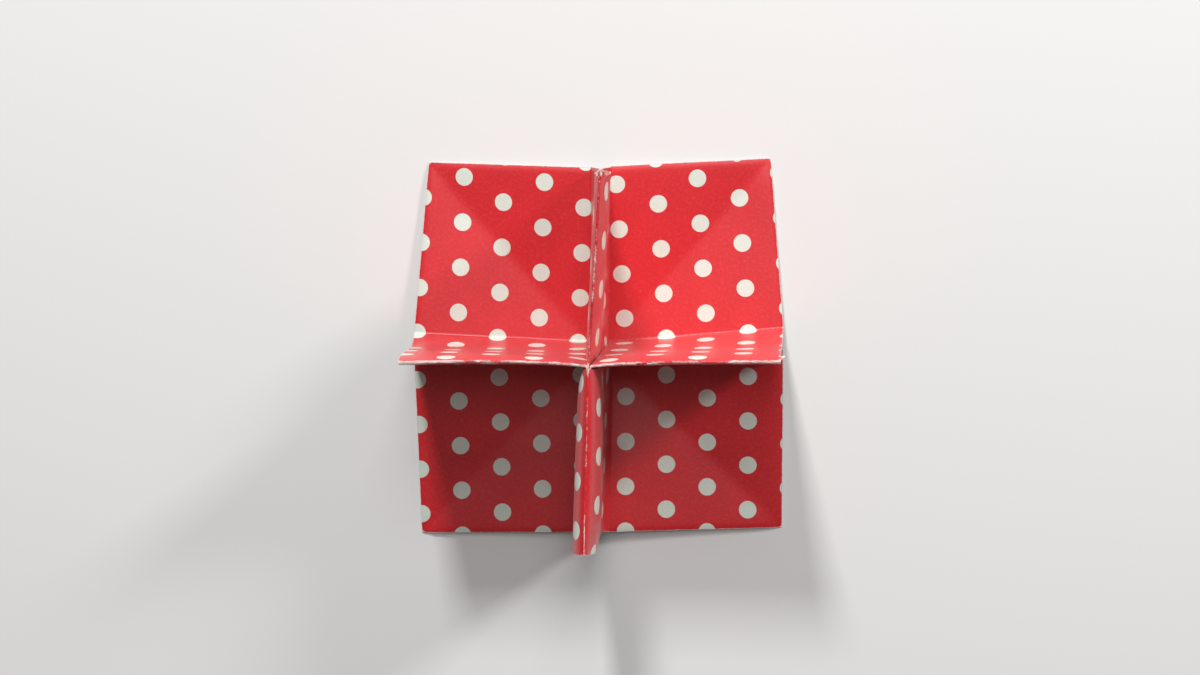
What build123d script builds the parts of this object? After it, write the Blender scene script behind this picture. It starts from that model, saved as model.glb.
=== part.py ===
from build123d import *
import os
from math import cos, pi, sin

# Divider folded from one square sheet of printed craft paper, in millimetres.
# Four floor panels lie flat on the table, and four hollow walls of two layers stand between
# them in a plus. The middle of the sheet is gathered into eight triangular layers, which are
# tucked inside the front wall. Every layer is one paper thickness.
# +Z is up, the front wall points to -Y, and the origin is the middle of the footprint.

# The sheet, creased into a grid of four by four
sheet_side = 150.0
paper = 0.12
unit = sheet_side / 4

# Openings under the walls, between the creases at their feet
front_back_opening = 3.9
side_opening = 3.8
side_flare = 1.0
middle_stray = -0.7

# How far each floor panel's outer corners lie from true, as folded by hand: the outer end of
# the side wall's crease, the outer corner, and the outer end of the front or back wall's crease
quarters = {
    "back_left": (-1, 1),
    "back_right": (1, 1),
    "front_left": (-1, -1),
    "front_right": (1, -1),
}
panel_strays = {
    "back_left": [(-0.85, 0.2), (2.45, 0.7), (0.35, -0.4)],
    "back_right": [(0.35, 1.7), (-2.55, 1.6), (0.55, -0.1)],
    "front_left": [(-0.75, 0.25), (0.35, -1.8), (0.05, -1.0)],
    "front_right": [(0.55, 1.4), (0.45, 0.2), (0.25, -0.9)],
}
SIDE_END, OUTER, FAR_END = range(3)

# The gathered middle: spacing of its layers at the floor, at the ridges and at the tips, and
# the knee in their sloping folds, below which they close in
knee_level = 0.25
knee_closing = 0.7
floor_pitch = 0.2
ridge_pitch = 0.3
tip_pitch = 0.2
rim_gap = 0.55
middle_height = 36.75
tip_drop = 0.4
wrap_lift = 0.2
front_lift = 1.0

# Section of the walls: level and size of the waist and the shoulder, as half the gap
waist_level = 0.2
waist = 0.25
shoulder_level = 0.76
shoulder = 1.0
front_waist_level = 0.08
front_waist = 0.85
front_shoulder_level = 0.8
front_shoulder = 2.8
swell_reach = 0.42
swell_share = 0.85
wall_levels = [0, 0.05, 0.12, 0.22, 0.45, 0.7, 0.88, 1]

# Ridges: how far their outer ends lie from true, and the front wall's rounded top
ridge_strays = {"left": (-0.9, 0.2), "right": (0.8, 0.9), "back": (2.5, 0.5), "front": (-0.9, -1.0)}
arch_level = 0.93
arch_steps = 8
fold_depth = 0.06


def between(start, end, share):
    """The value at a share of the way from start to end."""
    return start + (end - start) * share


def layer_x(number, level):
    """Distance from the middle of a gathered layer's inner edge: 4 innermost, 0 the front wall."""
    at_floor = front_back_opening / 2 + (4 - number) * floor_pitch
    at_ridge = (4.5 - max(number, 1)) * ridge_pitch + (rim_gap if number == 0 else 0)
    return between(at_floor, at_ridge, level)


def fold_x(number, level):
    """Distance from the middle of a gathered layer's sloping fold."""
    if level < knee_level:
        closing = knee_closing * level / knee_level
    else:
        closing = between(knee_closing, 1, (level - knee_level) / (1 - knee_level))
    return between(layer_x(number, 0), (4.5 - number) * tip_pitch, closing)


def crease_y(depth, level):
    """Where a side wall's layer turns into the gathered middle."""
    at_floor = depth * side_opening / 2 + middle_stray
    return between(at_floor, depth * ridge_pitch / 2, level)


def panel_corner(name, corner):
    """An outer corner of one floor panel in plan."""
    side, depth = quarters[name]
    inner_x = front_back_opening / 2
    inner_y = side_opening / 2
    true_corners = [
        (inner_x + unit, inner_y + side_flare),
        (inner_x + unit, inner_y + unit),
        (inner_x, inner_y + unit),
    ]
    x, y = true_corners[corner]
    stray_x, stray_y = panel_strays[name][corner]
    return Vector(side * x + stray_x, depth * y + stray_y)


def edge_left(first, second, end):
    """What two panels leave of the sheet's edge for each layer of the wall between them."""
    used = 0
    for name in (first, second):
        used += (panel_corner(name, OUTER) - panel_corner(name, end)).length
    return (sheet_side - used) / 2


outer_heights = {
    "left": edge_left("back_left", "front_left", SIDE_END),
    "right": edge_left("back_right", "front_right", SIDE_END),
    "back": edge_left("back_left", "back_right", FAR_END),
    "front": edge_left("front_left", "front_right", FAR_END),
}


def half_gap(level, foot, low_level, low, high_level, high, top):
    """Half a wall's gap: wide at the foot, pinched in, swollen, and closing at the ridge."""
    if level <= low_level:
        return low + (foot - low) * (1 - level / low_level) ** 2
    if level <= high_level:
        turn = pi * (level - low_level) / (high_level - low_level)
        return between(low, high, (1 - cos(turn)) / 2)
    return between(high, top, ((level - high_level) / (1 - high_level)) ** 3)


def swell_weight(level, low_level):
    """How far a wall's swell takes after its outer end: evenly at the foot, mostly above."""
    return between(swell_reach, swell_share, min(level / low_level, 1))


def side_wall(side, depth, level):
    """A left or right wall's layer at one level, as its outer end and its swell."""
    wall = "left" if side < 0 else "right"
    back = panel_corner("back_" + wall, SIDE_END)
    front = panel_corner("front_" + wall, SIDE_END)
    ridge_x, ridge_y = ridge_strays[wall]
    x = between((back.X + front.X) / 2, side * unit + ridge_x, level)
    y = between((back.Y + front.Y) / 2, ridge_y, level)
    foot = (back.Y - front.Y) / 2
    gap = half_gap(level, foot, waist_level, waist, shoulder_level, shoulder, ridge_pitch / 2)
    inner_x = side * layer_x(3 if depth > 0 else 2, level)
    inner_y = (crease_y(1, level) + crease_y(-1, level)) / 2
    inner_gap = (crease_y(1, level) - crease_y(-1, level)) / 2
    swell_gap = between(inner_gap, gap, swell_weight(level, waist_level))
    swell_y = between(inner_y, y, swell_reach) + depth * swell_gap
    top = between(middle_height, outer_heights[wall], swell_reach)
    return [
        (x, y + depth * gap, outer_heights[wall] * level),
        (between(inner_x, x, swell_reach), swell_y, top * level),
    ]


def end_wall(side, depth, level):
    """A front or back wall's layer at one level, as its swell and its outer end."""
    wall = "back" if depth > 0 else "front"
    left = panel_corner(wall + "_left", FAR_END)
    right = panel_corner(wall + "_right", FAR_END)
    ridge_x, ridge_y = ridge_strays[wall]
    x = between((left.X + right.X) / 2, ridge_x, level)
    y = between((left.Y + right.Y) / 2, depth * unit + ridge_y, level)
    foot = (right.X - left.X) / 2
    inner_y = crease_y(depth, level)
    if depth > 0:
        shape = (waist_level, waist, shoulder_level, shoulder, ridge_pitch / 2)
        inner_gap = layer_x(4, level)
        inner_height = middle_height
    else:
        shape = (front_waist_level, front_waist, front_shoulder_level, front_shoulder, 0.0)
        inner_gap = layer_x(0, level)
        inner_height = middle_height + front_lift
        inner_y -= ridge_pitch
    gap = half_gap(level, foot, *shape)
    swell_x = x * swell_reach + side * between(inner_gap, gap, swell_weight(level, shape[0]))
    top = between(inner_height, outer_heights[wall], swell_reach)
    return [
        (swell_x, between(inner_y, y, swell_reach), top * level),
        (x + side * gap, y, outer_heights[wall] * level),
    ]


def back_layer(side, level):
    """One back quarter's upright paper: side wall, third and fourth layers, back wall."""
    edge_y = crease_y(1, level)
    tip_y = between(edge_y - ridge_pitch, -unit, level)
    z = middle_height * level
    tip_z = (middle_height - tip_drop) * level
    return side_wall(side, 1, level) + [
        (side * layer_x(3, level), edge_y, z),
        (side * fold_x(3, level), tip_y, tip_z),
        (side * fold_x(4, level), tip_y, tip_z),
        (side * layer_x(4, level), edge_y, z),
    ] + end_wall(side, 1, level)


def front_layer(side, level):
    """One front quarter's upright paper: side wall, second and first layers, front wall."""
    edge_y = crease_y(-1, level)
    rim_y = edge_y - ridge_pitch
    tip_y = between(rim_y - ridge_pitch, -unit, level)
    z = middle_height * level
    wrap_z = (middle_height + wrap_lift) * level
    rim_z = (middle_height + front_lift) * level * arch_level
    return side_wall(side, -1, level) + [
        (side * layer_x(2, level), edge_y, z),
        (side * fold_x(2, level), tip_y, z - tip_drop * level),
        (side * fold_x(1, level), tip_y, wrap_z - tip_drop * level),
        (side * layer_x(1, level), rim_y, wrap_z),
        (side * layer_x(0, level * arch_level), rim_y, rim_z),
    ] + end_wall(side, -1, level * arch_level)


def strip_sides(path):
    """Both faces of a strip of paper on edge that follows a path, mitred at its corners."""
    points = [Vector(*point) for point in path]
    flat = [Vector(point.X, point.Y) for point in points]
    left, right = [], []
    for index, point in enumerate(points):
        ways = []
        if index:
            ways.append((flat[index] - flat[index - 1]).normalized())
        if index < len(points) - 1:
            ways.append((flat[index + 1] - flat[index]).normalized())
        sideways = (ways[0] + ways[-1]).normalized().rotate(Axis.Z, 90)
        reach = paper / 2 / sideways.dot(ways[0].rotate(Axis.Z, 90))
        left.append(point + sideways * reach)
        right.append(point - sideways * reach)
    return left, right


def line_up(points):
    """A straight or smoothly curved line through points up the paper."""
    return Edge.make_spline(points) if len(points) > 2 else Edge.make_line(*points)


def ruled(first, second):
    """The face ruled between two lines of points."""
    return Face.make_surface_from_curves(line_up(first), line_up(second))


def faces_between(first, second):
    """The faces between two lines up the paper. A sloping fold has three points, with its knee."""
    if len(first) != 3 and len(second) != 3:
        return [ruled(first, second)]
    if len(first) == len(second):
        return [ruled(first[:2], second[:2]), ruled(first[1:], second[1:])]
    (foot, top), (low, knee, tip) = sorted((first, second), key=len)
    corners = [(foot, low, knee), (foot, knee, top), (top, knee, tip)]
    return [Face(Wire.make_polygon(corner, close=True)) for corner in corners]


def ribbon(near, far):
    """Paper between two rows of lines of points, one row for each of its faces."""
    faces = []
    for lines in (near, far):
        for first, second in zip(lines, lines[1:]):
            faces += faces_between(first, second)
    for index in (0, -1):
        faces.append(ruled(near[index], far[index]))
    for end in (0, -1):
        for index in range(len(near) - 1):
            upper = [near[index][end], near[index + 1][end]]
            lower = [far[index][end], far[index + 1][end]]
            faces.append(ruled(upper, lower))
    return Solid(Shell(faces))


def quilt(near, far):
    """Paper between two grids of points, one grid for each of its faces."""
    borders = []
    for end in (0, -1):
        borders.append([near[end], far[end]])
        borders.append([[row[end] for row in near], [row[end] for row in far]])
    faces = []
    for grid in [near, far] + borders:
        for upper, lower in zip(grid, grid[1:]):
            for start in range(len(upper) - 1):
                faces.append(ruled(upper[start:start + 2], lower[start:start + 2]))
    return Solid(Shell(faces))


def upright(layer, side):
    """The upright paper of one quarter of the sheet, from its floor to just under the ridges."""
    faces = {}
    for level in wall_levels + [knee_level]:
        path = [(x, y, z - fold_depth * level) for x, y, z in layer(side, level)]
        faces[level] = strip_sides(path)
    rows = []
    for face in (0, 1):
        lines = []
        for index in range(len(faces[0][face])):
            if index in (3, 4):
                marks = [0, knee_level, 1]
            elif 2 <= index < len(faces[0][face]) - 2:
                marks = [0, 1]
            else:
                marks = wall_levels
            lines.append([faces[level][face][index] for level in marks])
        rows.append(lines)
    return ribbon(*rows)


def trimmed(line):
    """A line of points with both ends drawn in a little."""
    first = line[0] + (line[1] - line[0]).normalized() * fold_depth
    last = line[-1] + (line[-2] - line[-1]).normalized() * fold_depth
    return [first] + line[1:-1] + [last]


def fold(first_line, second_line):
    """The top of a fold between two layers, bevelled at its edges."""
    first = trimmed([Vector(*point) for point in first_line])
    second = trimmed([Vector(*point) for point in second_line])
    lower_first, lower_second = [], []
    for one, other in zip(first, second):
        out = (one - other).normalized() * fold_depth / 2
        lower_first.append(one + out - Vector(0, 0, paper))
        lower_second.append(other - out - Vector(0, 0, paper))
    return quilt([first, second], [lower_first, lower_second])


def floor_panel(name):
    """One level floor panel, as far as the creases at the walls' feet."""
    side, depth = quarters[name]
    layer = (back_layer if depth > 0 else front_layer)(side, 0)
    outer = panel_corner(name, OUTER)
    corners = [(x, y) for x, y, z in layer[:3] + layer[-3:]]
    corners.append((outer.X, outer.Y))
    return extrude(make_face(Polyline(*corners, close=True)), paper)


def arch_section(station):
    """The front wall's rounded top over one station: outer face, inner face and middle."""
    left = Vector(*front_layer(-1, 1)[station])
    right = Vector(*front_layer(1, 1)[station])
    middle = (left + right) / 2
    rise = left.Z * (1 / arch_level - 1)
    sections = []
    for offset in (paper / 2, -paper / 2, 0):
        points = []
        for step in range(arch_steps + 1):
            turn = pi * step / arch_steps
            away = offset if 0 < step < arch_steps else offset * 2 / 3
            x = middle.X - ((right.X - left.X) / 2 + away) * cos(turn)
            drop = 0 if 0 < step < arch_steps else fold_depth * 2
            points.append(Vector(x, middle.Y, middle.Z + (rise + away) * sin(turn) - drop))
        sections.append(points)
    return sections


def rim():
    """The turned-in end of the front wall's rounded top, over the gathered layers."""
    left = Vector(*front_layer(-1, 1)[5])
    arch = arch_section(6)[2]
    outline = [(point.X, point.Z) for point in arch]
    outline += [(-left.X, left.Z - paper), (left.X, left.Z - paper)]
    face = Plane.XZ.offset(-left.Y) * make_face(Polyline(*outline, close=True))
    return extrude(face, fold_depth * 0.8, both=True)


back_left, back_right = back_layer(-1, 1), back_layer(1, 1)
front_left, front_right = front_layer(-1, 1), front_layer(1, 1)
arch_sections = [arch_section(station) for station in (6, 7, 8)]

pieces = [floor_panel(name) for name in quarters]
for side in (-1, 1):
    pieces.append(upright(back_layer, side))
    pieces.append(upright(front_layer, side))
pieces.append(fold(back_left[:4], front_left[:4]))
pieces.append(fold(back_right[:4], front_right[:4]))
pieces.append(fold(back_left[4:], back_right[4:]))
pieces.append(fold(front_left[4:6], front_right[4:6]))
pieces.append(quilt([faces[0] for faces in arch_sections], [faces[1] for faces in arch_sections]))
pieces.append(rim())

sheet = pieces[0].fuse(*pieces[1:])
box = sheet.bounding_box()
middle = Vector((box.min.X + box.max.X) / 2, (box.min.Y + box.max.Y) / 2, box.min.Z)
folded_sheet = sheet.moved(Location(-middle))
folded_sheet.label = "folded_sheet"

os.makedirs("parts", exist_ok=True)
export_step(folded_sheet, "parts/folded_sheet.step")
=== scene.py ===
from math import cos, exp, pi, radians, sin

import bpy
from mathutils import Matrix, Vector, noise


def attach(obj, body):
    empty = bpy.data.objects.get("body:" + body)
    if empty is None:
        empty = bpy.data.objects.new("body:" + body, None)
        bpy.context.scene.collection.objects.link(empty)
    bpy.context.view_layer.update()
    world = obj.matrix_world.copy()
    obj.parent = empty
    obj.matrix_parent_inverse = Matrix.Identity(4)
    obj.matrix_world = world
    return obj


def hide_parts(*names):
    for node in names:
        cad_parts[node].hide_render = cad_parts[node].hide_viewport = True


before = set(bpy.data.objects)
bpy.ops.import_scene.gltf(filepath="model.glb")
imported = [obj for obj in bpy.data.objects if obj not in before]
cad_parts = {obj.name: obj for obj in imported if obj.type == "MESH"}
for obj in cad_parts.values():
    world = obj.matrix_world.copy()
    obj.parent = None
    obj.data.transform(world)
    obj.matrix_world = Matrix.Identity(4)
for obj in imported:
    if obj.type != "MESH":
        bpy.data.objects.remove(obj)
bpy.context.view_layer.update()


# Camera: held over the divider, a little behind and to the right of its middle, and tilted.
# It looks down into the four compartments and sees the side walls from behind.
bpy.ops.object.camera_add(
    location=(0.0280, 0.0452, 0.4644),
    rotation=(radians(-5.280), radians(3.411), 0),
)
camera = bpy.context.object
camera.name = "camera"
camera.data.sensor_width = 36
camera.data.lens = 64.5
bpy.context.scene.camera = camera


# Folded sheet: one 150 mm square of craft paper, printed with white dots on red on one face
# only. It was creased into four by four by hand, stood up along its creases into four double
# walls, and its middle was gathered and tucked inside the front wall.

# The flat sheet, in millimetres: u runs to the right and v to the back, from the middle. The
# ridges lie on the middle lines, and the walls' feet on the creases to each side of them
MM = 0.001
half_side = 75.0
crease = 37.5
paper = 0.12
footprint_middle = (-0.174, -0.1)


def between(start, end, share):
    """The value or place at one share of the way from start to end."""
    return start + (end - start) * share


# Where the walls cross: their openings at the floor, and how far the crossing lies off the
# middle to the front, at the floor (as a minus) and at the ridges. A level is 0 at the floor and
# 1 at the ridge. On each side the gathered layers are numbered inwards, from 1 to 4, and the
# front wall's own paper, which holds them, is 0. The innermost lies half a pitch from the middle
front_back_opening = 3.9
side_opening = 3.8
middle_stray = -0.7
middle_dip = 0.4
floor_pitch = 0.2
ridge_pitch = 0.3
bundle_pitch = 0.16
rim_gap = 0.25

# The layers' sloping folds close in fast up to a knee, and then slowly to the tips
tip_pitch = 0.12
knee_level = 0.25
knee_closing = 0.7


def layer_x(number, level):
    """How far a layer's upright crease lies from the middle."""
    at_floor = front_back_opening / 2 + (4 - number) * floor_pitch
    at_ridge = (4.5 - max(number, 1)) * bundle_pitch + (rim_gap if number == 0 else 0)
    return between(at_floor, at_ridge, level)


def fold_x(number, level):
    """How far a layer's sloping fold lies from the middle."""
    if level < knee_level:
        closing = knee_closing * level / knee_level
    else:
        closing = between(knee_closing, 1, (level - knee_level) / (1 - knee_level))
    return between(layer_x(number, 0), (4.5 - number) * tip_pitch, closing)


def crease_y(depth, level):
    """Where the upright creases at the crossing lie, for the back (1) or the front (-1)."""
    at_floor = depth * side_opening / 2 + middle_stray
    return between(at_floor, depth * ridge_pitch / 2 - middle_dip, level)


# Floor panels: the outer end of the side wall's crease, the outer corner, and the outer end of
# the front or back wall's crease, seen from above. Each is also creased from its inner to its
# outer corner, which lifts the other two corners. It bows up beside its outer corner, and its
# cut edges turn down
panel_ends = {
    (-1, 1): [(-40.25, 3.1), (-37.0, 40.1), (-1.6, 39.0)],
    (1, 1): [(39.85, 4.6), (36.9, 41.0), (2.5, 39.3)],
    (-1, -1): [(-40.25, -2.65), (-39.1, -41.2), (-1.9, -40.4)],
    (1, -1): [(39.85, -1.5), (39.9, -39.2), (2.2, -40.3)],
}
panel_lift = 2.2
corner_bow, bow_reach = 0.35, 4.5
edge_rise, edge_reach = 0.25, 0.5


def panel_height(lifted, from_corner, from_edge):
    """How high a panel stands, from its lift and the distances to its outer corner and edge."""
    bow = corner_bow * from_corner / bow_reach * exp(1 - from_corner / bow_reach)
    return panel_lift * lifted + bow + edge_rise * (1 - exp(-from_edge / edge_reach))


def panel_point(side, depth, across, along):
    """A point of a floor panel: across it from the inner corner to the side wall's outer end,
    and along it to the front or back wall's outer end, each from 0 to 1."""
    side_end, outer, far_end = [Vector((x, y, 0)) for x, y in panel_ends[side, depth]]
    number, rim = (4, 0) if depth > 0 else (0, ridge_pitch)
    inner = Vector((side * layer_x(number, 0), crease_y(depth, 0) - rim, 0))
    near = between(inner, side_end, across)
    far = between(far_end, outer, across)
    point = between(near, far, along)
    from_corner = Vector((1 - across, 1 - along)).length * crease
    from_edge = (1 - max(across, along)) * crease
    point.z = panel_height(abs(across - along), from_corner, from_edge)
    return point


def foot_rise(share):
    """How high a wall's foot stands on the lifted edges of the floor panels."""
    from_corner = Vector((1 - share, 1)).length * crease
    return panel_height(share, from_corner, (1 - share) * crease)


# Walls: for each layer, named by its wall and by the side that it is on, the level of its waist
# and half the wall's gap there, and the same for its shoulder
layer_shapes = {
    ("left", 1): (0.2, 0.4, 0.76, 1.0),
    ("left", -1): (0.2, 0.25, 0.76, 1.0),
    ("right", 1): (0.45, 0.85, 0.76, 1.05),
    ("right", -1): (0.2, 0.25, 0.76, 1.0),
    ("back", 1): (0.3, 0.13, 0.66, 2.1),
    ("back", -1): (0.3, 0.13, 0.76, 1.0),
    ("front", 1): (0.1, 0.9, 0.8, 2.65),
    ("front", -1): (0.08, 0.85, 0.8, 2.8),
}

# The ridges: their outer ends, seen from above and in height, and the height where they meet.
# Seen from above, the side walls' ridges bow to the back and dip to the front at the crossing
ridge_ends = {
    "left": (-38.4, 0.2), "right": (38.3, 0.9), "back": (2.5, 38.0), "front": (-0.9, -38.5),
}
outer_heights = {"left": 37.17, "right": 37.89, "back": 40.07, "front": 37.54}
middle_height = 36.75
ridge_bows = {"left": 0.45, "right": 0.2}
dip_reach = 0.07

# A wall's gap opens fast beside the crossing, and fully so from some way up. The front wall's
# cut end leans back at its foot and again near its ridge
first_swell, first_swell_reach = 0.55, 0.04
later_swell = 0.45
opening_level = 0.45
foot_lean, foot_lean_reach = 0.4, 0.08
ridge_lean, ridge_lean_power = 0.6, 5


def half_gap(level, foot, shape, top):
    """Half a wall's gap at its cut end: from the foot to a waist, a shoulder and the top."""
    low_level, low, high_level, high = shape
    if level <= low_level:
        return low + (foot - low) * (1 - level / low_level) ** 2
    if level <= high_level:
        turn = pi * (level - low_level) / (high_level - low_level)
        return between(low, high, (1 - cos(turn)) / 2)
    return between(high, top, ((level - high_level) / (1 - high_level)) ** 3)


def swell(share, level):
    """How far a wall's gap has changed from its inner end's to its outer end's."""
    opened = first_swell * (1 - exp(-share / first_swell_reach)) + later_swell * share ** 0.5
    return between(share, opened, min(level / opening_level, 1))


def end_retreat(wall, level):
    """How far a wall's cut end has leaned back, from its place at the foot to the ridge's."""
    if wall == "back":
        return level
    at_foot = foot_lean * (1 - exp(-level / foot_lean_reach))
    return at_foot + ridge_lean * level ** ridge_lean_power


def side_wall_point(side, depth, share, level):
    """A point of the left or right wall: share outwards along it, level up it."""
    wall = "left" if side < 0 else "right"
    back, front = panel_ends[side, 1][0], panel_ends[side, -1][0]
    ridge_x, ridge_y = ridge_ends[wall]
    outer_x = between((back[0] + front[0]) / 2, ridge_x, level)
    outer_y = between((back[1] + front[1]) / 2, ridge_y, level)
    shape = layer_shapes[wall, depth]
    gap = half_gap(level, (back[1] - front[1]) / 2, shape, ridge_pitch / 2)
    inner_x = side * layer_x(3 if depth > 0 else 2, level)
    inner_y = (crease_y(1, level) + crease_y(-1, level)) / 2 + middle_dip * level
    inner_gap = (crease_y(1, level) - crease_y(-1, level)) / 2
    x = between(inner_x, outer_x, share)
    y = between(inner_y, outer_y, share) + depth * between(inner_gap, gap, swell(share, level))
    y += ridge_bows[wall] * sin(pi * share) * level ** 2
    y -= middle_dip * level * exp(-share / dip_reach)
    z = between(middle_height, outer_heights[wall], share) * level
    return Vector((x, y, z + foot_rise(share) * (1 - level)))


# The front wall's ridge is a rounded arch, made of the top tenth of its paper. It starts higher
# than the others, overlaps the crossing, and is pinched in on the right at its cut end
front_lift = 1.0
front_overlap, overlap_power = 0.5, 12
front_pinch, pinch_power = 0.95, 6
arch_level = 0.93
arch_paper = 0.1
round_part, straight_part = 0.6, 0.4


def end_wall_point(side, depth, share, level):
    """A point of the front or back wall: share outwards along it, level up it."""
    wall = "back" if depth > 0 else "front"
    left, right = panel_ends[-1, depth][2], panel_ends[1, depth][2]
    ridge_x, ridge_y = ridge_ends[wall]
    shape = layer_shapes[wall, side]
    outer_y = between((left[1] + right[1]) / 2, ridge_y, end_retreat(wall, level))
    top, number, rim, lift = ridge_pitch / 2, 4, 0, 0
    overlap, up_arch = 0, 0
    if wall == "front":
        top, number, rim, lift = 0, 0, ridge_pitch, front_lift
        overlap = front_overlap * level ** overlap_power
        if level > 1 - arch_paper:
            up_arch = (level - 1 + arch_paper) / arch_paper
            level = arch_level
        else:
            level *= arch_level / (1 - arch_paper)
    outer_x = between((left[0] + right[0]) / 2, ridge_x, level)
    inner_y = crease_y(depth, level) - rim + overlap
    gap = half_gap(level, (right[0] - left[0]) / 2, shape, top)
    reach = between(layer_x(number, level), gap, swell(share, level))
    if (wall, side) == ("front", 1):
        reach -= front_pinch * share ** pinch_power * min(level / shape[2], 1)
    turn = up_arch * pi / 2
    inward = round_part * cos(turn) + straight_part * (1 - up_arch)
    upward = round_part * sin(turn) + straight_part * up_arch
    height = between(middle_height + lift, outer_heights[wall], share)
    x = between(0, outer_x, share) + side * reach * inward
    y = between(inner_y, outer_y, share)
    z = height * between(level, 1, upward)
    return Vector((x, y, z + foot_rise(share) * (1 - level)))


# Gathered layers: the outermost wraps a little higher over the others, and the tips hang lower
# than the ridges. All of them lean with the front wall
wrap_lift = 0.2
tip_drop = 1.0
least_level = 0.001


def layer_point(side, number, share, level):
    """A point of one gathered layer: share from its upright crease to its sloping fold."""
    depth = 1 if number > 2 else -1
    edge_y = crease_y(depth, level) - (ridge_pitch if number == 1 else 0)
    start_y = crease_y(depth, 0) - ridge_pitch * (2 if number < 3 else 1)
    height = middle_height + (wrap_lift if number == 1 else 0)
    crease_end = Vector((side * layer_x(number, level), edge_y, height * level))
    fold_y = between(start_y, -crease, level)
    fold_end = Vector((side * fold_x(number, level), fold_y, (height - tip_drop) * level))
    point = between(crease_end, fold_end, share)
    foot_x = (panel_ends[-1, -1][2][0] + panel_ends[1, -1][2][0]) / 2
    lean = between(foot_x, ridge_ends["front"][0], level)
    point.x += lean * max(-point.y, 0) / crease
    return point


def folded_point(u, v):
    """Where a point of the flat sheet lies once it is folded."""
    side = -1 if u < 0 else 1
    depth = -1 if v < 0 else 1
    out_u, out_v = abs(u) / crease - 1, abs(v) / crease - 1
    if out_u > 0 and out_v > 0:
        return panel_point(side, depth, out_u, out_v)
    if out_u > 0:
        return side_wall_point(side, depth, out_u, -out_v)
    if out_v > 0:
        return end_wall_point(side, depth, out_v, -out_u)
    if abs(u) > abs(v):
        number, share, level = (3 if depth > 0 else 2), -out_u, -out_v
    else:
        number, share, level = (4 if depth > 0 else 1), -out_v, -out_u
    return layer_point(side, number, share / max(level, least_level), level)


# The sheet starts flat and finely divided, with extra lines along every crease and cut edge. The
# ridges, and the paper at their cut ends, are divided once more
beside_crease = (-0.45, -0.2, 0.2, 0.45)
beside_ridge = (0.8, 1.7, 2.2)
beside_edge = (73.4, 74.2, 74.6, 74.8)
ridge_start = crease - 1
end_length = 1.6
end_reach = 4
bpy.ops.object.select_all(action="DESELECT")
bpy.ops.mesh.primitive_grid_add(x_subdivisions=120, y_subdivisions=120, size=2 * half_side * MM)
sheet = bpy.context.object
sheet.name = "folded_paper"
sheet.data.name = "folded_paper"
crease_lines = [place + step for place in (-crease, 0, crease) for step in beside_crease]
edge_lines = [place * side for place in beside_edge for side in (-1, 1)]
ridge_lines = [place * side for place in beside_ridge for side in (-1, 1)]
bpy.ops.object.mode_set(mode="EDIT")
for place in crease_lines + edge_lines + ridge_lines:
    for normal in ((1, 0, 0), (0, 1, 0)):
        bpy.ops.mesh.select_all(action="SELECT")
        bpy.ops.mesh.bisect(plane_co=Vector(normal) * place * MM, plane_no=normal)
for normal in ((1, 1, 0), (1, -1, 0)):
    bpy.ops.mesh.select_all(action="SELECT")
    bpy.ops.mesh.bisect(plane_co=(0, 0, 0), plane_no=normal)
bpy.ops.mesh.select_mode(type="FACE")
bpy.ops.mesh.select_all(action="DESELECT")
bpy.ops.object.mode_set(mode="OBJECT")
for face in sheet.data.polygons:
    across, along = abs(face.center.x) / MM, abs(face.center.y) / MM
    on_ridge = max(across, along) > ridge_start and min(across, along) < beside_crease[-1]
    at_ridge_end = max(across, along) > half_side - end_length and min(across, along) < end_reach
    face.select = on_ridge or at_ridge_end
bpy.ops.object.mode_set(mode="EDIT")
bpy.ops.mesh.subdivide(number_cuts=2)
bpy.ops.object.mode_set(mode="OBJECT")

# Two maps keep the flat sheet's places: the print's, in which the creases lie as askew as they
# were folded, and the folds', in which every crease is true. The print's places are given by
# column and row, 1 for a crease and 2 for a cut edge. Its back ridge slipped a little
print_places = {
    (-1, 1): (-36.3, 37.5), (-2, 1): (-75.0, 37.0), (-2, 2): (-73.4, 74.1), (-1, 2): (-37.7, 75.2),
    (1, 1): (36.7, 37.1), (2, 1): (74.7, 37.8), (2, 2): (74.4, 74.6), (1, 2): (39.5, 75.4),
    (-1, -1): (-37.7, -38.1), (-2, -1): (-74.8, -36.6),
    (-2, -2): (-74.4, -74.7), (-1, -2): (-37.6, -75.1),
    (1, -1): (37.5, -38.2), (2, -1): (74.6, -36.6), (2, -2): (74.5, -74.3), (1, -2): (36.9, -75.6),
}
back_ridge_slip = 0.5


def print_knot(column, row):
    """The print's place at one crossing. On a middle line, it is the mean of those beside it."""
    columns = [column] if column else [-1, 1]
    rows = [row] if row else [-1, 1]
    places = [Vector(print_places[c, r]) for c in columns for r in rows]
    return sum(places, Vector((0, 0))) / len(places)


print_knots = {(c, r): print_knot(c, r) for c in range(-2, 3) for r in range(-2, 3)}
for back_row in (1, 2):
    print_knots[0, back_row] -= Vector((0, back_ridge_slip))


def print_place(u, v):
    """The print's place of a point of the true sheet."""
    column = min(max(int((u + half_side) / crease), 0), 3) - 2
    row = min(max(int((v + half_side) / crease), 0), 3) - 2
    across, along = u / crease - column, v / crease - row
    near = between(print_knots[column, row], print_knots[column + 1, row], across)
    far = between(print_knots[column, row + 1], print_knots[column + 1, row + 1], across)
    return between(near, far, along)


flat_points = [(vertex.co.x / MM, vertex.co.y / MM) for vertex in sheet.data.vertices]
print_map = sheet.data.uv_layers[0]
print_map.name = "print_map"
fold_map = sheet.data.uv_layers.new(name="fold_map")
for corner in sheet.data.loops:
    u, v = flat_points[corner.vertex_index]
    print_map.data[corner.index].uv = print_place(u, v) / (2 * half_side) + Vector((0.5, 0.5))
    fold_map.data[corner.index].uv = (u / (2 * half_side) + 0.5, v / (2 * half_side) + 0.5)

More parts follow.
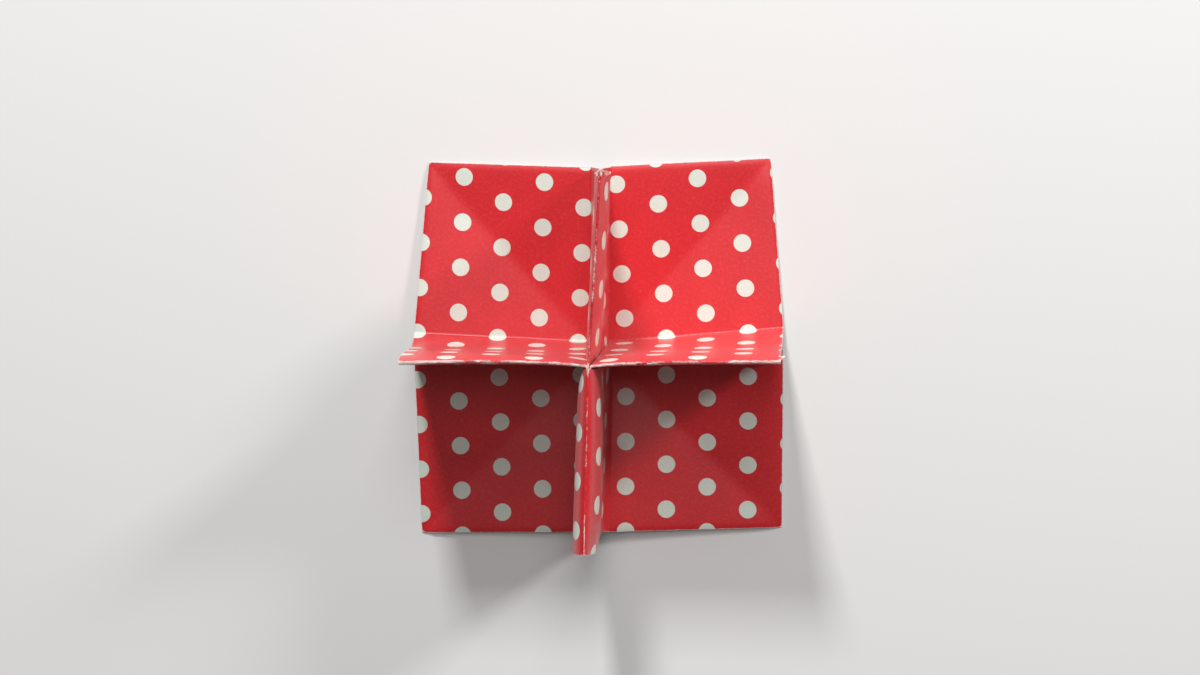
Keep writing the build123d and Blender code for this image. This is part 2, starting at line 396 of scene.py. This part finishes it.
# Wear: the print cracks white along the folds, most along the ridges, and rubs off at cut edges,
# and a painted highlight whitens the front ridge. Each kind has its strength, where 1 is bare, and
# its reach in millimetres
side_ridge_wear, side_ridge_reach = 0.88, 0.34
end_ridge_reach = 0.25
back_ridge_wear = 0.46
# The front ridge's white is partly cracked print and partly a painted highlight, which grows
# towards its cut end
front_ridge_wear_and_glint, front_ridge_glint_gain = 0.2, 0.2
left_foot_wear, right_foot_wear, end_foot_wear, foot_reach = 0.35, 0.5, 0.3, 0.2
edge_wear, edge_wear_reach = 0.9, 0.2
rub_strength, rub_scale = 0.7, 0.13
nick_strength, nick_scale = 0.4, 0.4

# A wedge of bare paper, where the front ridge begins, narrows towards the front
wedge_wear, wedge_length = 1.2, 2.6
wedge_width, wedge_tip = 0.8, 0.05

# Bare spots at the ends of the ridges and creases: u, v and reach
bare_spots = [
    (0, 75, 0.7), (-75, 0, 0.8), (75, 0, 1.0), (75, 1.6, 0.8), (0, -75, 0.6),
    (-crease, 0, 0.9), (crease, 0, 0.9), (0, crease, 0.8), (75, crease, 0.5), (75, -crease, 0.9),
    (75, -75, 0.7), (-75, -75, 0.8), (-75, 75, 0.6), (75, 75, 0.6),
]


def faded(distance, reach):
    """How much of a mark is left at a distance: 1 on it, and nearly 0 at twice its reach."""
    return exp(-((distance / reach) ** 2))


def print_wear_and_glint(u, v):
    """How worn the print is at one point of the flat sheet, from 0 to 1, with the painted
    highlight along the front ridge.
    """
    across, along = abs(u), abs(v)
    handling = rub_strength * noise.noise(Vector((u, v, 3)) * rub_scale)
    handling += nick_strength * noise.noise(Vector((u, v, 8)) * nick_scale)
    marks = [edge_wear * exp(-min(half_side - across, half_side - along) / edge_wear_reach)]
    if across > crease:
        foot_wear = right_foot_wear if u > 0 else left_foot_wear
        marks.append((side_ridge_wear + handling) * faded(v, side_ridge_reach))
        marks.append(foot_wear * faded(along - crease, foot_reach))
    if along > crease:
        # Front ridge: cracked print with a painted highlight of broken glints, stronger towards
        # its cut end
        ridge_wear_and_glint = front_ridge_wear_and_glint + front_ridge_glint_gain * (along / crease - 1)
        if v > 0:
            ridge_wear_and_glint = back_ridge_wear
        marks.append((ridge_wear_and_glint + handling) * faded(u, end_ridge_reach))
        marks.append(end_foot_wear * faded(across - crease, foot_reach))
    if v < -ridge_start:
        wedge = max(1 - (-v - crease) / wedge_length, 0)
        marks.append(wedge_wear * wedge ** 0.5 * faded(u, wedge_width * wedge + wedge_tip))
    for spot_u, spot_v, reach in bare_spots:
        marks.append(faded(Vector((u - spot_u, v - spot_v)).length, reach))
    return max(marks)


# Folding: every point goes to its place on the folded form. Each fold is rounded by taking the
# mean of four places close by, and the walls and edges waver a little, as hand-folded paper does.
# The seed makes every run waver alike
fold_radius = 0.16
waver, waver_scale = 0.12, 0.07
panel_share = 0.4
noise.seed_set(6)

# Cut edges and ridges are a little ragged, and the crown, at the back ridge's cut end, is frayed
edge_rag, edge_rag_reach = 0.05, 0.25
ridge_rag, ridge_rag_reach = 0.17, 0.35
crown_rag, crown_depth, crown_width = 0.4, 0.8, 14
rag_scale = 1.3

# Two torn spots curl out, at the right ridge's and the back ridge's cut ends: u, v and the way
curls = [(75, 1.6, (1.0, 0.5, 0.4)), (0.5, 75, (0.1, 0.9, 0.2))]
curl_reach = 0.9


def ragged_by(u, v):
    """How far the paper's torn and cracked places stand off, in millimetres."""
    across, along = abs(u), abs(v)
    rag = edge_rag * exp(-min(half_side - across, half_side - along) / edge_rag_reach)
    if max(across, along) > crease:
        rag += ridge_rag * faded(min(across, along), ridge_rag_reach)
    if v > crease:
        rag += crown_rag * exp(-(((half_side - v) / crown_depth) ** 2) - (u / crown_width) ** 2)
    curl = Vector((0, 0, 0))
    for curl_u, curl_v, way in curls:
        curl += Vector(way) * faded(Vector((u - curl_u, v - curl_v)).length, curl_reach)
    return noise.noise_vector(Vector((u, v, 5)) * rag_scale) * rag + curl


def placed(u, v):
    """The folded place of one point, with its rounded fold, its waver and its torn edge."""
    total = Vector((0, 0, 0))
    for step_u in (-fold_radius, fold_radius):
        for step_v in (-fold_radius, fold_radius):
            near_u = min(max(u + step_u, -half_side), half_side)
            near_v = min(max(v + step_v, -half_side), half_side)
            total += folded_point(near_u, near_v)
    sway = noise.noise_vector(Vector((u, v, 0)) * waver_scale) * waver
    if abs(u) > crease and abs(v) > crease:
        sway *= panel_share
    return total / 4 + (Vector((sway.x, sway.y, sway.z / 2)) + ragged_by(u, v))


# Each point also keeps how worn its print is, with the front ridge's painted highlight, and
# whether it lies in a wall, above its foot, where more light is painted glowing through the paper
foot_margin = 0.3
wear = sheet.data.attributes.new("wear", "FLOAT", "POINT")
lit_through = sheet.data.attributes.new("lit_through", "FLOAT", "POINT")
for vertex, (u, v) in zip(sheet.data.vertices, flat_points):
    wear.data[vertex.index].value = print_wear_and_glint(u, v)
    in_a_wall = min(abs(u), abs(v)) < crease - foot_margin
    lit_through.data[vertex.index].value = 1.0 if in_a_wall else 0.0
    point = placed(u, v)
    point -= Vector((footprint_middle[0], footprint_middle[1], 0))
    point.z = max(point.z + paper / 2, paper / 2)
    vertex.co = point * MM


# Coated craft paper, printed: dense red ink with dots left in the white of the paper, under a
# thin coating that gives a soft sheen. Cracked folds and cut edges show the white fibres.
def linear(code):
    """An sRGB hex colour as linear values."""
    values = [int(code[place:place + 2], 16) / 255 for place in (0, 2, 4)]
    return [v / 12.92 if v <= 0.04045 else ((v + 0.055) / 1.055) ** 2.4 for v in values] + [1]


def add(tree, kind, inputs=(), **settings):
    """Adds one node, with its settings, and each input's value or the output that it takes."""
    node = tree.nodes.new(kind)
    for name, value in settings.items():
        setattr(node, name, value)
    for name, value in dict(inputs).items():
        if isinstance(value, bpy.types.NodeSocket):
            tree.links.new(value, node.inputs[name])
        else:
            node.inputs[name].default_value = value
    return node


def new_material(name):
    """A material with only its output and a shader, and its node tree."""
    material = bpy.data.materials.new(name)
    material.use_nodes = True
    tree = material.node_tree
    tree.nodes.clear()
    shader = add(tree, "ShaderNodeBsdfPrincipled")
    add(tree, "ShaderNodeOutputMaterial", {"Surface": shader.outputs["BSDF"]})
    return material, tree, shader


# The printed dots, in millimetres: their size and soft rim, the pitch of their columns and rows,
# and the place of one of them. Every second column stands half a row further on
dot_radius, dot_rim = 1.88, 0.12
rim_roughness = 0.1
column_pitch = 8.83
row_pitch = 9.78
dot_place = (-65.4, 61.6)


def in_sheet_mm(tree):
    """The print's own places on the sheet, in millimetres from the middle of one dot."""
    places = add(tree, "ShaderNodeUVMap", uv_map="print_map")
    return add(tree, "ShaderNodeMapping", {
        "Vector": places.outputs["UV"],
        "Location": (-half_side - dot_place[0], -half_side - dot_place[1], 0),
        "Scale": (2 * half_side, 2 * half_side, 1),
    }).outputs["Vector"]


def dot_mask(tree, in_mm):
    """White in the printed dots, whose rims are uneven, as ink on paper is."""
    edge_noise = add(tree, "ShaderNodeTexNoise", {"Vector": in_mm, "Scale": 3.0, "Detail": 3.0})
    distances = []
    for shift in ((0, 0, 0), (column_pitch, row_pitch / 2, 0)):
        moved = add(tree, "ShaderNodeVectorMath", {0: in_mm, 1: shift}, operation="ADD")
        cell = add(tree, "ShaderNodeVectorMath", {
            0: moved.outputs["Vector"],
            1: (column_pitch, row_pitch / 2, 1),
            2: (-column_pitch, -row_pitch / 2, -1),
        }, operation="WRAP")
        away = add(tree, "ShaderNodeVectorMath", {0: cell.outputs["Vector"]}, operation="LENGTH")
        distances.append(away.outputs["Value"])
    nearest = add(tree, "ShaderNodeMath", {0: distances[0], 1: distances[1]}, operation="MINIMUM")
    rough_rim = add(tree, "ShaderNodeMath", {
        0: edge_noise.outputs["Fac"], 1: rim_roughness, 2: nearest.outputs["Value"],
    }, operation="MULTIPLY_ADD")
    return add(tree, "ShaderNodeMapRange", {
        "Value": rough_rim.outputs["Value"],
        "From Min": dot_radius, "From Max": dot_radius + dot_rim, "To Min": 1.0, "To Max": 0.0,
    }).outputs["Result"]


# Ink: wide clouds of a slightly lighter red, and specks under 1 mm where the paper took less ink
printed, tree, shader = new_material("printed_craft_paper")
in_mm = in_sheet_mm(tree)
dot = dot_mask(tree, in_mm)
cloud = add(tree, "ShaderNodeTexNoise", {"Vector": in_mm, "Scale": 0.12, "Detail": 4.0})
red = add(tree, "ShaderNodeMix", {
    "Factor": cloud.outputs["Fac"], "A": linear("c6141f"), "B": linear("dc2029"),
}, data_type="RGBA")
speck = add(tree, "ShaderNodeTexNoise", {
    "Vector": in_mm, "Scale": 1.4, "Detail": 5.0, "Roughness": 0.75,
})
thin = add(tree, "ShaderNodeMapRange", {
    "Value": speck.outputs["Fac"], "From Min": 0.5, "From Max": 0.78, "To Max": 0.3,
}).outputs["Result"]
mottled = add(tree, "ShaderNodeMix", {
    "Factor": thin, "A": red.outputs["Result"], "B": linear("f0686a"),
}, data_type="RGBA")
bare_dot = add(tree, "ShaderNodeMix", {
    "Factor": speck.outputs["Fac"], "A": linear("d2ddd0"), "B": linear("e6f0e4"),
}, data_type="RGBA")
ink = add(tree, "ShaderNodeMix", {
    "Factor": dot, "A": mottled.outputs["Result"], "B": bare_dot.outputs["Result"],
}, data_type="RGBA")

# Bare fibres, of a pinkish white, break through the ink where it is worn, and the same white
# paints a broken highlight along the front ridge
fibre_part = 1.6
fibres = add(tree, "ShaderNodeTexNoise", {
    "Vector": in_mm, "Scale": 1.6, "Detail": 6.0, "Roughness": 0.7,
})
wear_and_glint = add(tree, "ShaderNodeAttribute", attribute_name="wear").outputs["Fac"]
ragged = add(tree, "ShaderNodeMath", {
    0: fibres.outputs["Fac"], 1: fibre_part, 2: wear_and_glint,
}, operation="MULTIPLY_ADD")
bare = add(tree, "ShaderNodeMapRange", {
    "Value": ragged.outputs["Value"], "From Min": 1.2, "From Max": 1.55, "To Max": 0.8,
}).outputs["Result"]
surface = add(tree, "ShaderNodeMix", {
    "Factor": bare, "A": ink.outputs["Result"], "B": linear("f2dcd6"),
}, data_type="RGBA")
tree.links.new(surface.outputs["Result"], shader.inputs["Base Color"])

# Paper grain: fibre clumps about 0.5 mm wide, which break up the sheen of the coating. Bare
# fibres stand proud of it and are matt
bare_proud = 1.5
grain = add(tree, "ShaderNodeTexNoise", {
    "Vector": in_mm, "Scale": 1.9, "Detail": 5.0, "Roughness": 0.65,
})
relief = add(tree, "ShaderNodeMath", {
    0: bare, 1: bare_proud, 2: grain.outputs["Fac"],
}, operation="MULTIPLY_ADD")
bump = add(tree, "ShaderNodeBump", {
    "Strength": 0.85, "Distance": 0.07 * MM, "Height": relief.outputs["Value"],
})
tree.links.new(bump.outputs["Normal"], shader.inputs["Normal"])
gloss = add(tree, "ShaderNodeMapRange", {"Value": bare, "To Min": 0.36, "To Max": 0.9})
tree.links.new(gloss.outputs["Result"], shader.inputs["Roughness"])
shader.inputs["IOR"].default_value = 1.5
shader.inputs["Specular IOR Level"].default_value = 0.25
shader.inputs["Coat Weight"].default_value = 0.8
shader.inputs["Coat Roughness"].default_value = 0.4
shader.inputs["Coat IOR"].default_value = 1.5
shader.inputs["Sheen Weight"].default_value = 0.12
shader.inputs["Sheen Roughness"].default_value = 0.5
shader.inputs["Sheen Tint"].default_value = linear("ffe6e6")

# Uncoated side and cut edges: plain white wood-free paper, quite matt, with faint fibres. Light
# through the red print is painted on it as a pink glow: strong in the walls, which stand in the
# light, faint under the panels, and less behind the dots
less_at_dots = -0.8
plain, tree, shader = new_material("plain_white_paper")
places = add(tree, "ShaderNodeUVMap", uv_map="fold_map").outputs["UV"]
fibre = add(tree, "ShaderNodeTexNoise", {"Vector": places, "Scale": 500.0, "Detail": 4.0})
white = add(tree, "ShaderNodeMix", {
    "Factor": fibre.outputs["Fac"], "A": linear("e3dedb"), "B": linear("f3efec"),
}, data_type="RGBA")
ink_shown = add(tree, "ShaderNodeMath", {
    0: dot_mask(tree, in_sheet_mm(tree)), 1: less_at_dots, 2: 1.0,
}, operation="MULTIPLY_ADD")
in_wall = add(tree, "ShaderNodeAttribute", attribute_name="lit_through").outputs["Fac"]
strength = add(tree, "ShaderNodeMapRange", {"Value": in_wall, "To Min": 0.15, "To Max": 0.6})
shown = add(tree, "ShaderNodeMath", {
    0: ink_shown.outputs["Value"], 1: strength.outputs["Result"],
}, operation="MULTIPLY")
# Painted glow: the pink of light shining through the red print, strongest in the walls
painted_glow_through = add(tree, "ShaderNodeMix", {
    "Factor": shown.outputs["Value"], "A": white.outputs["Result"], "B": linear("e9706c"),
}, data_type="RGBA")
tree.links.new(painted_glow_through.outputs["Result"], shader.inputs["Base Color"])
bump = add(tree, "ShaderNodeBump", {
    "Strength": 0.3, "Distance": 0.03 * MM, "Height": fibre.outputs["Fac"],
})
tree.links.new(bump.outputs["Normal"], shader.inputs["Normal"])
shader.inputs["Roughness"].default_value = 0.85
shader.inputs["IOR"].default_value = 1.5

# Thickness: half of it each way from the middle of the paper, with the plain side beneath
sheet.data.materials.append(printed)
sheet.data.materials.append(plain)
thickness = sheet.modifiers.new("paper", "SOLIDIFY")
thickness.thickness = paper * MM
thickness.offset = 0
thickness.use_even_offset = False
thickness.material_offset = 1
thickness.material_offset_rim = 1
bpy.ops.object.modifier_apply(modifier="paper")
bpy.ops.object.shade_smooth_by_angle(angle=radians(35))

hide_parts("folded_sheet")
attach(sheet, "root")


# Table: a plain pale surface that the divider stands on.
# It isn't part of the object, and keeps the divider's shadow.
bpy.ops.object.select_all(action="DESELECT")
bpy.ops.mesh.primitive_plane_add(size=4)
table = bpy.context.object
table.name = "table"
pale, tree, shader = new_material("pale_table")
shader.inputs["Base Color"].default_value = linear("e9e8e6")
shader.inputs["Roughness"].default_value = 1.0
shader.inputs["Specular IOR Level"].default_value = 0.0
table.data.materials.append(pale)


# Lamps: a soft lamp behind the divider and a little to its left, and a weaker one to the right of
# that, as in the photograph. A broad lamp high up brings out the paper's sheen, one between
# them lightens the shade beside the back wall, and an even surround fills the front compartments.
lamp_distance = 1.0


def add_lamp(name, azimuth, height, size, power):
    """Adds a square soft lamp, aimed at the divider. Azimuth runs to the right from the back."""
    aim = Vector((
        sin(radians(azimuth)) * cos(radians(height)),
        cos(radians(azimuth)) * cos(radians(height)),
        sin(radians(height)),
    ))
    turn = aim.to_track_quat("Z", "Y").to_euler()
    bpy.ops.object.light_add(type="AREA", location=aim * lamp_distance, rotation=turn)
    lamp = bpy.context.object
    lamp.name = name
    lamp.data.size = size
    lamp.data.energy = power


add_lamp("back_lamp", azimuth=-9.7, height=33, size=0.12, power=7.1)
add_lamp("side_lamp", azimuth=53, height=24, size=0.16, power=4.6)
add_lamp("top_lamp", azimuth=5, height=72, size=0.3, power=1.6)
add_lamp("fill_lamp", azimuth=10, height=48, size=0.3, power=1.7)
surround = bpy.data.worlds.new("surround")
surround.use_nodes = True
surround.node_tree.nodes["Background"].inputs["Color"].default_value = linear("ffffff")
surround.node_tree.nodes["Background"].inputs["Strength"].default_value = 0.12
bpy.context.scene.world = surround
bpy.context.scene.view_settings.view_transform = "Standard"
